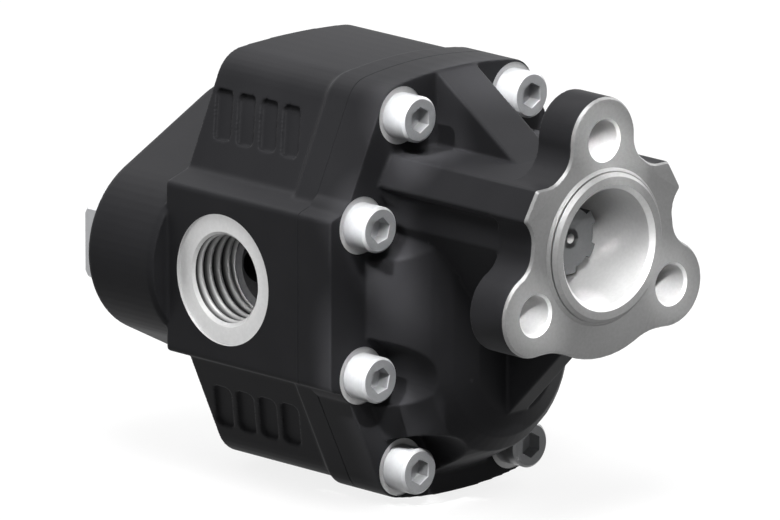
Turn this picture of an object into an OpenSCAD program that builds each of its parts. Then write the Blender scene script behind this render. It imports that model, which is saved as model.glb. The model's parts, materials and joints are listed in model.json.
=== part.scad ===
// Reversible external gear pump with a three-bolt flange and a splined drive shaft.
// Millimetres. The origin is the centre of the mounting face on the drive shaft's axis.
// The flange faces -Y, the body runs back along +Y, +X is right and +Z is up.

/* [Gears] */
// Distance between the drive shaft and the driven shaft
centre_dist = 48; // [46:0.5:50]
// Teeth on each gear
gear_teeth = 12; // [11:1:13]
// Width of the gears
gear_w = 36; // [30:1:40]
// Pressure angle of the teeth
pressure_angle = 24; // [23:0.5:25]
// Play between meshing teeth, measured along the pitch circle
backlash = 0.3; // [0.2:0.05:0.5]
// Gap between a tooth's tip and the root of its mate
root_gap = 0.8; // [0.6:0.1:1.2]
// Gap between the tips of the teeth and the chamber
tip_gap = 0.1; // [0.08:0.01:0.2]
// Gap between a gear's end and its thrust plate
end_gap = 0.05; // [0.03:0.01:0.15]

/* [Shafts] */
// Diameter of the journals
journal_d = 26; // [24:0.5:28]
// Radial running clearance of the journals and of the seal lips
journal_gap = 0.04; // [0.02:0.01:0.08]
// Depth of the shaft's end behind the mounting face
shaft_recess = 16.2; // [12:0.2:20]
// Length of the splined end
spline_len = 32; // [24:1:34]
// Teeth of the spline
spline_teeth = 6; // [6:2:8]
// Outer diameter of the spline
spline_d = 25; // [23:0.5:25.5]
// Root diameter of the spline
spline_root_d = 21; // [19:0.5:21.5]
// Width of a spline tooth
spline_tooth_w = 5; // [4:0.5:6]
// Diameter of the centre hole in the drive shaft's end
centre_hole_d = 3.4; // [2.6:0.2:4]
// Diameter of that hole's cone at the shaft's end
centre_cone_d = 7; // [6:0.2:9]
// Depth of that centre hole
centre_hole_depth = 18; // [10:1:30]
// Diameter of the drain bore through the driven gear
drain_bore_d = 8; // [5:0.5:10]

/* [Bushes and thrust plates] */
// Wall of a plain bush
bush_wall = 2; // [1.5:0.25:2.5]
// Length of a plain bush
bush_len = 24; // [20:1:26]
// Depth of the free space past a shaft's end or a bush's end
end_space = 3; // [2:0.5:4]
// Thickness of a thrust plate
thrust_t = 7; // [6:0.5:9]
// Radial gap between a thrust plate or the cover's spigot and the chamber
slip_gap = 0.05; // [0.03:0.01:0.1]
// Width of the figure-eight seal behind a thrust plate
plate_seal_w = 2.5; // [2:0.1:3]
// Thickness of that seal
plate_seal_t = 1.7; // [1.2:0.1:2]
// Thickness of the backup ring on that seal
backup_t = 0.9; // [0.6:0.1:1.2]
// Length of a trapped-oil pocket in a thrust plate
relief_len = 9; // [6:1:12]
// Depth of that pocket
relief_depth = 2; // [1:0.5:3]

/* [Shaft seals] */
// Outer diameter of the shaft seals, which is the bore of the neck
seal_d = 40; // [38:0.5:42]
// Width of a shaft seal
seal_w = 7; // [6:0.5:8]
// Depth of the room between the inner seal and the front bushes
seal_room = 8; // [6:0.5:9]
// Thickness of the washer between the seals
spacer_t = 2; // [1.5:0.5:3]
// Thickness of the snap ring
snap_t = 1.75; // [1.5:0.25:2]
// Depth of the snap ring's groove
snap_groove = 1.25; // [1:0.05:1.5]
// Extra radius of the bore's mouth, so that the seals pass it freely
mouth_gap = 0.3; // [0.2:0.05:0.5]
// Gap of a piece that is pressed, screwed or dropped into its seat
seat_gap = 0.02; // [0.01:0.01:0.04]

/* [Mounting flange] */
// Thickness of the flange
flange_t = 17; // [14:0.5:20]
// Diameter of the pilot
pilot_d = 50; // [48:0.5:52]
// Height of the pilot above the mounting face
pilot_h = 2.7; // [2:0.1:4]
// Pitch circle of the mounting holes
bolt_pcd = 74; // [72:0.5:78]
// Diameter of a mounting hole
bolt_hole_d = 13.5; // [10.5:0.5:13.5]
// Chamfer at the mouth of a mounting hole
bolt_chamfer = 0.9; // [0.5:0.1:1.2]
// Radius of a bolt lobe
lobe_r = 14.9; // [14:0.1:16]
// Radius of the hollows between the lobes
scallop_r = 10; // [8:0.5:12]
// Distance from the axis to the lower edge of the flange
flange_low = 39; // [38:0.2:40]
// Radius of the shallow hollows beside that edge
low_scallop_r = 26; // [20:1:30]
// Chamfer round the mounting face
flange_chamfer = 1.2; // [0.8:0.1:1.6]
// Depth of the relief groove round the pilot
groove_depth = 1.4; // [1:0.1:2]
// Width of that groove
groove_w = 2.8; // [2:0.1:3.4]

/* [Front cover] */
// Distance from the mounting face to the screws' seats
cover_len = 72.3; // [68:0.5:80]
// Thickness of the cover's plate behind the screws' seats
cover_t = 15.8; // [13:0.2:18]
// Radius of the neck
neck_r = 34; // [32:0.5:35]
// Radius of the fillet between the neck and the plate
neck_fillet = 6; // [4:0.5:8]
// Height of the neck's flat top above the shaft's axis
neck_top = 24.6; // [24:0.2:26]
// Distance from the axis to the flats that clear the lower bolts
bolt_flat = 28.7; // [27:0.2:30]
// Reach of the two side wings
wing_reach = 39.3; // [38:0.1:41]
// Width of a side wing
wing_w = 11.8; // [10:0.2:14]
// Width of the upper gusset
gusset_w = 18.6; // [14:0.2:22]
// Width of the lower gusset
low_gusset_w = 9.3; // [7:0.1:12]
// Height of the upper gusset at the plate, above the axis
gusset_high = 50; // [40:0.5:50.5]
// Distance from the mounting face to the upper gusset's front end
gusset_toe_y = 32.6; // [31:0.2:34]
// Distance from the mounting face to the upper gusset's bend
gusset_bend_y = 40; // [38:0.2:42]
// Height of that bend above the neck's flat top
gusset_bend = 4.4; // [3.5:0.1:5]
// Inset of the dome's foot from the cover's edge
dome_inset = 8; // [7:0.25:10]
// Half width of the dome's foot
dome_foot = 42.6; // [41:0.2:44]
// Half width of the dome where its front begins to round
dome_mid = 32.4; // [31:0.2:34]
// Distance from the mounting face to there
dome_mid_y = 50.5; // [49:0.2:53]
// Half width of the dome half way round
dome_turn = 26.6; // [25:0.2:28]
// Distance from the mounting face to there
dome_turn_y = 45.5; // [45:0.1:47]
// Half width of the dome's front face
dome_nose = 18.2; // [17:0.2:20]
// Distance from the mounting face to the dome's front face
dome_nose_y = 41.9; // [40:0.1:43]
// Radius of the room round a screw's head, at the plate
pocket_r = 12.9; // [11.5:0.1:13.2]
// Draft of that room
pocket_draft = 4; // [2:0.5:5]

/* [Outline of the cover and the body] */
// Distance from the shaft's axis to the top of the cover
top_reach = 50.8; // [50.8:0.1:54]
// Radius of the cover's arched top
top_r = 170; // [150:5:220]
// Half width of the cover at its upper corners
corner_x = 33.1; // [33:0.1:35]
// Radius of those corners
corner_r = 10; // [7:0.5:11]
// Lean of the cover's sides
side_lean = 25.1; // [24:0.1:27]
// How far the body's top lies below the cover's
body_drop = 2.2; // [1.2:0.1:3]
// Radius of the body's arched top
body_top_r = 300; // [250:10:400]
// Half width of the body at its upper corners
body_corner_x = 32; // [31.5:0.1:33]
// Radius of those corners
body_corner_r = 12.6; // [11:0.2:13]
// Lean of the body's sides
body_lean = 24; // [23:0.1:25.5]
// Distance between the two port faces
port_span = 118.6; // [116:0.2:124]
// Half height of a port face
port_half_h = 29.8; // [28.5:0.1:31]
// Slope of the shelf above a port face
shelf_slope = 17.6; // [12:0.2:20]
// Rounding of the port block's long edges
port_edge_r = 2; // [1:0.5:3]
// Length of the body's front flange
body_flange_len = 10; // [8:0.5:14]
// Length of the step from that flange to the body's outline
body_step_len = 3; // [2:0.5:4]
// Length of the body from the joint to the rear housing
body_len = 65.8; // [65:0.2:70]

/* [Grip pockets in the sides] */
// Pockets on each leaning side
pocket_count = 4; // [3:1:4]
// Distance between pockets
pocket_pitch = 11.2; // [10.5:0.1:12]
// Width of a pocket along the body
pocket_w = 8.2; // [7:0.2:9]
// Length of a pocket up the side
pocket_len = 17.6; // [15:0.2:19]
// Depth of a pocket
pocket_depth = 1.5; // [1:0.1:2]
// How far a pocket's long sides lean back
pocket_lean = 19; // [10:1:20]
// Distance from the last pocket to the end of the body
pocket_inset = 8.8; // [8.4:0.2:11]
// How far the pockets sit from the middle of the side, away from the ports
pocket_rise = -0.4; // [-1:0.1:1]

/* [Ports] */
// Distance from the joint to the axis of the side ports
port_back = 37.4; // [36:0.2:39]
// Minor diameter of the one-inch pipe thread
port_minor_d = 30.29; // [29:0.01:31]
// Major diameter of that thread
port_major_d = 33.25; // [32.5:0.01:34]
// Length of the side ports' threads
port_thread_len = 19; // [16:0.5:20]
// Diameter of a port's machined face
port_face_d = 45.8; // [42:0.2:48]
// Depth of that face
port_face_depth = 1; // [0.5:0.1:1.5]
// Diameter of the passage behind a port's thread
passage_d = 24; // [20:0.5:26]
// Distance from the middle to each rear port
rear_port_x = 35.2; // [34:0.2:37]
// Diameter of the passage from a side port to the rear port beside it
rear_passage_d = 16; // [12:0.5:17]

/* [Rear housing] */
// Length of the rear housing
housing_len = 31.8; // [30:0.2:34]
// Radius of the housing round a rear port
boss_r = 32; // [29:0.5:33]
// Radius of the housing round a shaft
housing_r = 27; // [25:0.5:30]
// Rounding of the housing's rear rim
rim_r = 1.6; // [1:0.2:4]
// Rounding of the housing's front edge
housing_edge_r = 0.8; // [0.5:0.1:2]
// Across-flats width of a rear plug
plug_af = 41; // [38:0.5:43]
// Height of a plug's head
plug_head = 11; // [9:0.5:14]
// Thickness of a plug's seal
plug_seal_t = 2; // [1.5:0.25:3]
// Diameter of a plug's seal
plug_seal_d = 44; // [42:0.5:46]
// Length of a plug's thread
plug_len = 15; // [12:0.5:18]

/* [Screws and dowels] */
// Diameter of the cover screws
screw_d = 10; // [8:0.5:10.5]
// Diameter of a screw's head
head_d = 16; // [14:0.5:17]
// Height of a screw's head
head_h = 10; // [8:0.5:12]
// Across-flats width of a screw's socket
socket_af = 8; // [6:0.5:9]
// Depth of a screw's socket
socket_depth = 5; // [4:0.5:6]
// Length of a screw under its head
screw_len = 40; // [35:1:42]
// Diameter of a clearance hole
screw_hole_d = 11; // [10.6:0.1:12]
// Diameter of the machined seat under a head
seat_d = 20; // [18:0.5:20.5]
// Depth of that seat
seat_depth = 0.4; // [0.2:0.1:0.8]
// Distance from the middle to the corner screws
corner_screw_x = 26.4; // [26:0.1:27]
// Distance from the nearer shaft's axis to the corner screws
corner_screw_rise = 37.7; // [37:0.1:38.5]
// Distance from the middle to the side screws
side_screw_x = 45; // [44:0.1:46]
// Distance from the mid-plane to the side screws
side_screw_z = 26.3; // [25.5:0.1:27]
// Diameter of a dowel
dowel_d = 8; // [6:0.5:8]
// Length of a dowel
dowel_len = 22; // [16:1:24]
// Distance from the middle to a dowel
dowel_x = 37.5; // [37:0.1:38.5]
// Distance from the mid-plane to a dowel
dowel_z = 45; // [44:0.5:46]
// Gap between the cover's seal ring and the chamber
ring_gap = 3; // [2:0.25:4]
// Width of that ring
ring_w = 2.6; // [2:0.1:3]
// Thickness of that ring
ring_t = 1.9; // [1.5:0.1:2.5]

/* [Hidden] */
$fn = 64;

// How far a cutting shape runs past the face that it opens
over = 1;

// Stations along the shaft, from the mounting face back
seat_y = cover_len;
plate_y = seat_y - seat_depth;
joint_y = seat_y + cover_t;
port_y = joint_y + port_back;
// The rear passage is drilled just behind a side port's thread
rear_passage_x = port_span / 2 - port_face_depth - port_thread_len - rear_passage_d / 2 - 1;
gear_front_y = port_y - gear_w / 2;
gear_rear_y = port_y + gear_w / 2;
spigot_y = gear_front_y - end_gap - thrust_t;
chamber_y = gear_rear_y + end_gap + thrust_t;
front_bush_y = spigot_y - bush_len;
rear_bush_y = chamber_y + bush_len;
body_end_y = joint_y + body_len;
housing_y = body_end_y + housing_len;
seal_stop_y = front_bush_y - seal_room;
inner_seal_y = seal_stop_y - seal_w;
spacer_y = inner_seal_y - spacer_t;
outer_seal_y = spacer_y - seal_w;
snap_y = outer_seal_y - snap_t;

// Places across the shaft, as X and Z
drive_at = [0, 0];
driven_at = [0, -centre_dist];
mid_z = -centre_dist / 2;
half_gap = centre_dist / 2;
corner_screw_z = half_gap + corner_screw_rise;

// The teeth
gear_module = centre_dist / gear_teeth;
pitch_r = centre_dist / 2;
base_r = pitch_r * cos(pressure_angle);
tip_r = pitch_r + gear_module;
root_r = centre_dist - tip_r - root_gap;
chamber_r = tip_r + tip_gap;
journal_r = journal_d / 2;
bush_r = journal_r + bush_wall;
seal_r = seal_d / 2;

// The figure-eight seal lies midway between the bushes and the edge of a thrust plate
plate_seal_r = pitch_r + plate_seal_w / 2 - 0.25;
plate_seal_depth = plate_seal_t + backup_t;

// Directions of the flange's lobes and of the side wings
lobe_angles = [90, 210, 330];
wing_angles = [30, 150];

// Extrudes a shape drawn in X and Z from y0 back to y1
module along_y(y0, y1) {
    translate([0, y1, 0]) rotate([90, 0, 0]) linear_extrude(y1 - y0) children();
}

// Extrudes a shape drawn in Y and Z to both sides of the middle
module across_x(width) {
    rotate([90, 0, 90]) linear_extrude(width, center = true) children();
}

// Turns a profile drawn as radius and Y round an axis along Y
module turned(at = drive_at) {
    translate([at[0], 0, at[1]]) rotate([-90, 0, 0]) rotate_extrude() children();
}

// A cylinder along Y
module rod(r, y0, y1, at = drive_at) {
    translate([at[0], y1, at[1]]) rotate([90, 0, 0]) cylinder(r = r, h = y1 - y0);
}

// A cone along Y with radius r0 at y0 and r1 at y1
module taper(r0, r1, y0, y1, at = drive_at) {
    translate([at[0], y1, at[1]]) rotate([90, 0, 0]) cylinder(r1 = r1, r2 = r0, h = y1 - y0);
}

// Repeats a shape that is placed from the mid-plane in the other three quarters
module quarters() {
    for (side = [0, 1], half = [0, 1])
        translate([0, 0, mid_z]) mirror([side, 0, 0]) mirror([0, 0, half]) children();
}

function mix(a, b, t) = a + (b - a) * t;
function unit(v) = v / norm(v);

// Points of the arc that rounds corner b between a and c
function corner(a, b, c, r) =
    r <= 0 ? [b] :
    let (
        u = unit(a - b),
        v = unit(c - b),
        half = acos(max(-1, min(1, u * v))) / 2,
        centre = b + unit(u + v) * r / sin(half),
        from = b + u * r / tan(half) - centre,
        to = b + v * r / tan(half) - centre,
        start = atan2(from[1], from[0]),
        turn = (atan2(to[1], to[0]) - start + 540) % 360 - 180,
        steps = max(2, ceil(abs(turn) / 12))
    )
    [for (i = [0:steps]) centre + r * [cos(start + turn * i / steps), sin(start + turn * i / steps)]];

// A closed outline whose corners [x, y, radius] are rounded
function rounded(pts) =
    let (n = len(pts), xy = [for (p = pts) [p[0], p[1]]])
    [for (i = [0:n - 1]) each corner(xy[(i + n - 1) % n], xy[i], xy[(i + 1) % n], pts[i][2])];

// Repeats a quarter outline, listed from the side to the top, round all four quarters
function four_fold(q) =
    let (n = len(q))
    concat(
        q,
        [for (i = [n - 1:-1:0]) [-q[i][0], q[i][1], q[i][2]]],
        [for (i = [0:n - 1]) [-q[i][0], -q[i][1], q[i][2]]],
        [for (i = [n - 1:-1:0]) [q[i][0], -q[i][1], q[i][2]]]
    );

// Foot of the leaning side, where it meets the shelf above the port face
function side_foot(top, lean) =
    let (
        rise = top[1] - port_half_h - (port_span / 2 - top[0]) * tan(shelf_slope),
        run = rise / (cos(lean) - sin(lean) * tan(shelf_slope))
    )
    [top[0] + run * sin(lean), top[1] - run * cos(lean)];

// Outline from the mid-plane: the cover's and the body flange's at t = 0, the body's at t = 1
function outline(t) =
    let (
        apex = half_gap + top_reach - body_drop * t,
        arch = mix(top_r, body_top_r, t),
        x = mix(corner_x, body_corner_x, t),
        lean = mix(side_lean, body_lean, t),
        top = [x, apex - x * x / (2 * arch)],
        foot = side_foot(top, lean)
    )
    rounded(four_fold(concat(
        [
            [port_span / 2, port_half_h, port_edge_r],
            [foot[0], foot[1], 3],
            [top[0], top[1], mix(corner_r, body_corner_r, t)]
        ],
        [for (part = [0.7:-0.2:0.1]) [x * part, apex - pow(x * part, 2) / (2 * arch), 0]]
    )));

module outline_shape(t) {
    translate([0, mid_z]) polygon(outline(t));
}

// A figure eight of two discs on the two shafts
module eight(r) {
    for (at = [drive_at, driven_at])
        translate(at) circle(r);
}

// A slot shape round both shafts
function slot_points(r) =
    concat(
        [for (a = [0:7.5:180]) drive_at + r * [cos(a), sin(a)]],
        [for (a = [180:7.5:360]) driven_at + r * [cos(a), sin(a)]]
    );

// Places of the screws and the dowels, as X and Z
function corner_screw(side, half) = [side * corner_screw_x, mid_z + half * corner_screw_z];
function side_screw(side, half) = [side * side_screw_x, mid_z + half * side_screw_z];
screw_places = [
    for (side = [-1, 1], half = [-1, 1]) each [corner_screw(side, half), side_screw(side, half)]
];
dowel_places = [[dowel_x, mid_z + dowel_z], [-dowel_x, mid_z - dowel_z]];

// The grip pockets, cut square to the leaning sides
module grip_pockets() {
    top_z = half_gap + top_reach - body_drop - body_corner_x * body_corner_x / (2 * body_top_r);
    foot = side_foot([body_corner_x, top_z], body_lean);
    middle = (foot + [body_corner_x, top_z]) / 2;
    lean = pocket_len / 2 * tan(pocket_lean);
    leaning_shape = rounded([
        for (c = [[-1, -1], [1, -1], [1, 1], [-1, 1]])
            [c[0] * pocket_w / 2 + c[1] * lean, c[1] * pocket_len / 2, pocket_w / 4]
    ]);
    for (i = [0:pocket_count - 1])
        translate([middle[0], body_end_y - pocket_inset - i * pocket_pitch, middle[1]])
            rotate([0, -body_lean, 0])
                rotate([90, 0, 90])
                    translate([0, pocket_rise, -pocket_depth])
                        linear_extrude(pocket_depth + over + 2) polygon(leaning_shape);
}

// The rear housing: four round bosses drawn together, with a rounded rim
module housing_cast() {
    places = [
        [-rear_port_x, mid_z, boss_r], [rear_port_x, mid_z, boss_r],
        [0, 0, housing_r], [0, -centre_dist, housing_r]
    ];
    hull()
        for (p = places) {
            rod(p[2] - housing_edge_r, body_end_y - over, body_end_y, [p[0], p[1]]);
            rod(p[2], body_end_y + housing_edge_r, housing_y - rim_r, [p[0], p[1]]);
            rod(p[2] - rim_r * 0.3, housing_y - rim_r, housing_y - rim_r * 0.3, [p[0], p[1]]);
            rod(p[2] - rim_r, housing_y - rim_r, housing_y, [p[0], p[1]]);
        }
}

// The body's cast shape before any hole
module body_cast() {
    steps = 4;
    flange_y = joint_y + body_flange_len;
    along_y(joint_y, flange_y) outline_shape(0);
    for (i = [1:steps])
        along_y(flange_y + body_step_len * (i - 1) / steps - 0.01, flange_y + body_step_len * i / steps)
            outline_shape(1 - pow(1 - (i - 0.5) / steps, 2));
    along_y(flange_y + body_step_len, body_end_y) outline_shape(1);
    housing_cast();
}

// A side port with its machined face, its thread and its way into the chamber
module side_port() {
    face = port_span / 2;
    translate([0, port_y, mid_z]) rotate([0, 90, 0]) {
        translate([0, 0, face - port_face_depth]) cylinder(d = port_face_d, h = port_face_depth + over + 8);
        translate([0, 0, face - port_face_depth - port_thread_len])
            cylinder(d = port_minor_d, h = port_thread_len + over);
        chamfer = (port_major_d - port_minor_d) / 2;
        translate([0, 0, face - port_face_depth - chamfer])
            cylinder(d1 = port_minor_d, d2 = port_major_d, h = chamfer);
        cylinder(d = passage_d, h = face - port_face_depth - port_thread_len + over);
    }
}

module body() {
    rear_r = port_major_d / 2 + seat_gap;
    color([0.12, 0.12, 0.13])
        difference() {
            body_cast();
            for (at = [drive_at, driven_at]) {
                rod(chamber_r, joint_y - over, chamber_y, at);
                rod(bush_r + seat_gap, chamber_y - over, rear_bush_y, at);
                rod(journal_r + 0.5, rear_bush_y - over, rear_bush_y + end_space, at);
            }
            for (side = [-1, 1]) {
                mirror([side < 0 ? 1 : 0, 0, 0]) side_port();
                rod(rear_r, housing_y - plug_len - over, housing_y + over, [side * rear_port_x, mid_z]);
                rod(rear_passage_d / 2, port_y, housing_y - plug_len, [side * rear_passage_x, mid_z]);
            }
            for (at = screw_places)
                rod(screw_d / 2 + seat_gap, joint_y - over, seat_y + screw_len + 3, at);
            for (at = dowel_places)
                rod(dowel_d / 2 + seat_gap, joint_y - over, joint_y + dowel_len / 2, at);
            quarters() grip_pockets();
        }
}

// The flange's outline: three bolt lobes, two wings and hollows between them
module flange_shape(inset = 0) {
    offset(delta = -inset) {
        offset(r = -scallop_r)
            offset(delta = scallop_r) {
                circle(neck_r - 0.4);
                for (a = lobe_angles)
                    rotate(a) translate([bolt_pcd / 2, 0]) circle(lobe_r);
                wings_shape();
            }
        difference() {
            offset(r = -low_scallop_r)
                offset(delta = low_scallop_r) {
                    circle(flange_low);
                    for (a = [lobe_angles[1], lobe_angles[2]])
                        rotate(a) translate([bolt_pcd / 2, 0]) circle(lobe_r);
                }
            translate([-bolt_pcd, -bolt_pcd / 4]) square(2 * bolt_pcd);
        }
    }
}

// The shoulder that carries the two side wings under the neck's flat top
module wings_shape() {
    tip = wing_reach * [cos(30), sin(30)];
    low = tip + wing_w / 2 * [sin(30), -cos(30)];
    high = tip - wing_w / 2 * [sin(30), -cos(30)];
    root = low - 7 * [cos(30), sin(30)];
    polygon([
        [high[0], neck_top], low, root, [-root[0], root[1]], [-low[0], low[1]], [-high[0], neck_top]
    ]);
}

// The neck: a round bar with a flat top and two flats for the lower bolts
module neck_shape() {
    difference() {
        circle(neck_r);
        translate([-neck_r, neck_top]) square([2 * neck_r, neck_r]);
        for (a = [lobe_angles[1], lobe_angles[2]])
            rotate(a) translate([bolt_flat, -neck_r]) square([neck_r, 2 * neck_r]);
    }
}

// A section of the dome: a U round the driven shaft
module dome_slice(half_w, y) {
    along_y(y, y + 0.1) {
        translate(driven_at) circle(half_w, $fn = 48);
        translate([-half_w, -centre_dist]) square([2 * half_w, centre_dist]);
    }
}

// The dome over the driven shaft's front bearing, with room for the screws' heads
module dome() {
    reach = plate_y - dome_nose_y;
    difference() {
        hull() {
            along_y(plate_y - 0.1, plate_y + over)
                intersection() {
                    offset(delta = -dome_inset) outline_shape(0);
                    translate([-dome_foot, -3 * centre_dist]) square([2 * dome_foot, 3 * centre_dist]);
                }
            dome_slice(dome_mid, dome_mid_y);
            dome_slice(dome_turn, dome_turn_y);
            dome_slice(dome_nose, dome_nose_y);
        }
        for (at = screw_places)
            taper(pocket_r + reach * tan(pocket_draft), pocket_r, dome_nose_y, plate_y, at);
    }
}

// The fillet at the neck's root, cut away round the screws' heads
module neck_root() {
    difference() {
        turned() polygon(concat(
            [[seal_r + 4, plate_y + over], [seal_r + 4, plate_y - neck_fillet]],
            [for (a = [0:22.5:90]) [
                neck_r + neck_fillet * (1 - cos(a)),
                plate_y - neck_fillet * (1 - sin(a))
            ]],
            [[neck_r + neck_fillet, plate_y + over]]
        ));
        for (at = screw_places)
            rod(pocket_r, plate_y - 2 * neck_fillet, plate_y, at);
        translate([-2 * neck_r, 0, neck_top]) cube([4 * neck_r, plate_y, neck_r]);
    }
}

// The gussets above and below the neck
module gussets() {
    half_way = [(gusset_toe_y + gusset_bend_y) / 2 - 0.6, neck_top + gusset_bend / 3];
    across_x(gusset_w)
        polygon([
            [plate_y + over, gusset_high], [plate_y, gusset_high], [gusset_bend_y, neck_top + gusset_bend],
            half_way, [gusset_toe_y, neck_top - 0.2], [plate_y + over, neck_top - 0.2]
        ]);
    low_z = -centre_dist - dome_nose + 0.7;
    front_z = -flange_low + 0.8;
    front_y = dome_nose_y - (front_z - low_z);
    across_x(low_gusset_w)
        polygon([
            [front_y, front_z], [dome_nose_y, low_z], [dome_mid_y, low_z],
            [dome_mid_y, -bolt_flat], [front_y, -bolt_flat]
        ]);
}

// The cover's cast shape before any hole
module cover_cast() {
    cuts = 3;
    along_y(plate_y, joint_y) outline_shape(0);
    along_y(flange_chamfer, flange_t) flange_shape();
    for (i = [1:cuts])
        along_y(flange_chamfer * (i - 1) / cuts, flange_chamfer * i / cuts + 0.01)
            flange_shape(flange_chamfer * (1 - (i - 0.5) / cuts));
    along_y(flange_t - over, plate_y + over) neck_shape();
    along_y(flange_t - over, plate_y + over) wings_shape();
    neck_root();
    gussets();
    dome();
    along_y(joint_y - over, spigot_y) eight(chamber_r - slip_gap);
    pilot_ring();
}

// The pilot with a broken edge
module pilot_ring() {
    edge = 0.4;
    rod(pilot_d / 2, -pilot_h + edge, groove_depth + over);
    taper(pilot_d / 2 - edge, pilot_d / 2, -pilot_h, -pilot_h + edge);
}

module front_cover() {
    pilot_r = pilot_d / 2;
    mouth_r = seal_r + mouth_gap;
    mouth = 1.6;
    color([0.12, 0.12, 0.13])
        difference() {
            cover_cast();
            rod(seal_r, -pilot_h - over, seal_stop_y);
            rod(seal_r + mouth_gap, -pilot_h - over, shaft_recess - 1);
            taper(mouth_r + mouth + over, mouth_r, -pilot_h - over, -pilot_h + mouth);
            rod(seal_r + snap_groove, snap_y - 0.1, snap_y + snap_t);
            rod(journal_r + 1, seal_stop_y - over, front_bush_y + over);
            for (at = [drive_at, driven_at])
                rod(bush_r + seat_gap, front_bush_y, spigot_y + over, at);
            rod(journal_r, front_bush_y - end_space, front_bush_y + over, driven_at);
            translate([0, front_bush_y - end_space / 2, -centre_dist])
                cylinder(d = 2, h = centre_dist);
            difference() {
                rod(pilot_r + groove_w, -over, groove_depth);
                rod(pilot_r, -2 * over, groove_depth + over);
            }
            for (a = lobe_angles) {
                at = bolt_pcd / 2 * [cos(a), sin(a)];
                rod(bolt_hole_d / 2, -over, flange_t + over, at);
                taper(bolt_hole_d / 2 + bolt_chamfer, bolt_hole_d / 2, 0, bolt_chamfer, at);
            }
            for (at = screw_places) {
                rod(screw_hole_d / 2, plate_y - over, joint_y + over, at);
                rod(seat_d / 2, plate_y - over, seat_y, at);
            }
            for (at = dowel_places)
                rod(dowel_d / 2 + seat_gap, joint_y - dowel_len / 2, joint_y + over, at);
            along_y(joint_y - ring_t, joint_y)
                difference() {
                    polygon(slot_points(chamber_r + ring_gap + ring_w));
                    polygon(slot_points(chamber_r + ring_gap));
                }
        }
}

// Half the angle of a tooth at radius r, for an involute flank
function flank(r) =
    let (
        half_pitch = (180 * gear_module / 2 - backlash / 2 * 180 / PI) / (2 * pitch_r) ,
        a = r > base_r ? acos(base_r / r) : 0
    )
    half_pitch + involute(pressure_angle) - involute(a);
function involute(a) = tan(a) * 180 / PI - a;

// One tooth, from one root to the other
function tooth(centre) =
    let (
        radii = [root_r, mix(root_r, base_r, 0.5), base_r, mix(base_r, tip_r, 0.15), mix(base_r, tip_r, 0.4),
            mix(base_r, tip_r, 0.7), tip_r],
        n = len(radii) - 1
    )
    concat(
        [for (i = [0:n]) radii[i] * [cos(centre - flank(radii[i])), sin(centre - flank(radii[i]))]],
        [tip_r * [cos(centre), sin(centre)]],
        [for (i = [n:-1:0]) radii[i] * [cos(centre + flank(radii[i])), sin(centre + flank(radii[i]))]]
    );

// A gear with its first tooth at an angle from +X
module teeth(at, first) {
    along_y(gear_front_y, gear_rear_y)
        translate(at)
            polygon([for (i = [0:gear_teeth - 1]) each tooth(first + 360 * i / gear_teeth)]);
}

// A journal with a broken edge at the end that is free
module journal(y0, y1, at) {
    edge = 1;
    rod(journal_r, y0 + edge, y1 - edge, at);
    taper(journal_r - edge, journal_r, y0, y0 + edge, at);
    taper(journal_r, journal_r - edge, y1 - edge, y1, at);
}

// The splined end: straight teeth round a core, with a bevelled front
module spline() {
    edge = 0.3;
    difference() {
        along_y(shaft_recess, shaft_recess + spline_len)
            intersection() {
                circle(d = spline_d);
                union() {
                    circle(d = spline_root_d);
                    for (i = [0:spline_teeth - 1])
                        rotate(30 + 360 * i / spline_teeth)
                            translate([0, -spline_tooth_w / 2]) square([spline_d, spline_tooth_w]);
                }
            }
        difference() {
            rod(spline_d, shaft_recess - over, shaft_recess + edge);
            taper(spline_d / 2 - edge - over, spline_d / 2, shaft_recess - over, shaft_recess + edge);
        }
    }
}

module drive_gear() {
    hole_r = centre_hole_d / 2;
    cone_r = centre_cone_d / 2;
    color([0.45, 0.46, 0.48])
        difference() {
            union() {
                teeth(drive_at, -90);
                journal(shaft_recess + spline_len - 1, rear_bush_y, drive_at);
                spline();
            }
            rod(hole_r, shaft_recess - over, shaft_recess + centre_hole_depth);
            taper(cone_r, hole_r, shaft_recess, shaft_recess + (cone_r - hole_r) / tan(30));
        }
}

module driven_gear() {
    color([0.45, 0.46, 0.48])
        difference() {
            union() {
                teeth(driven_at, 90 + 180 / gear_teeth);
                journal(front_bush_y, rear_bush_y, driven_at);
            }
            rod(drain_bore_d / 2, front_bush_y - over, rear_bush_y + over, driven_at);
        }
}

// A thrust plate whose seal groove is at y_seal and whose face at y_gear meets the gears
module thrust_plate(y_gear, y_seal) {
    toward = y_gear > y_seal ? 1 : -1;
    y0 = min(y_gear, y_seal);
    y1 = max(y_gear, y_seal);
    color([0.75, 0.62, 0.35])
        difference() {
            along_y(y0, y1) eight(chamber_r - slip_gap);
            for (at = [drive_at, driven_at])
                rod(journal_r + 2 * journal_gap, y0 - over, y1 + over, at);
            plate_ring(
                min(y_seal, y_seal + toward * plate_seal_depth),
                max(y_seal, y_seal + toward * plate_seal_depth)
            );
            for (side = [-1, 1])
                translate([
                    side * (relief_len / 2 + 3), y_gear - toward * relief_depth / 2, mid_z
                ])
                    cube([relief_len, relief_depth, 8], center = true);
        }
}

// The figure-eight seal's shape
module plate_ring(y0, y1) {
    along_y(y0, y1)
        difference() {
            eight(plate_seal_r);
            eight(plate_seal_r - plate_seal_w);
        }
}

// A plain bush with an eased bore
module bush(y0, at) {
    ease = 0.6;
    inner = journal_r + journal_gap;
    y1 = y0 + bush_len;
    color([0.62, 0.5, 0.36])
        turned(at) polygon([
            [inner + ease, y0], [bush_r, y0], [bush_r, y1], [inner + ease, y1],
            [inner, y1 - ease], [inner, y0 + ease]
        ]);
}

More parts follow.
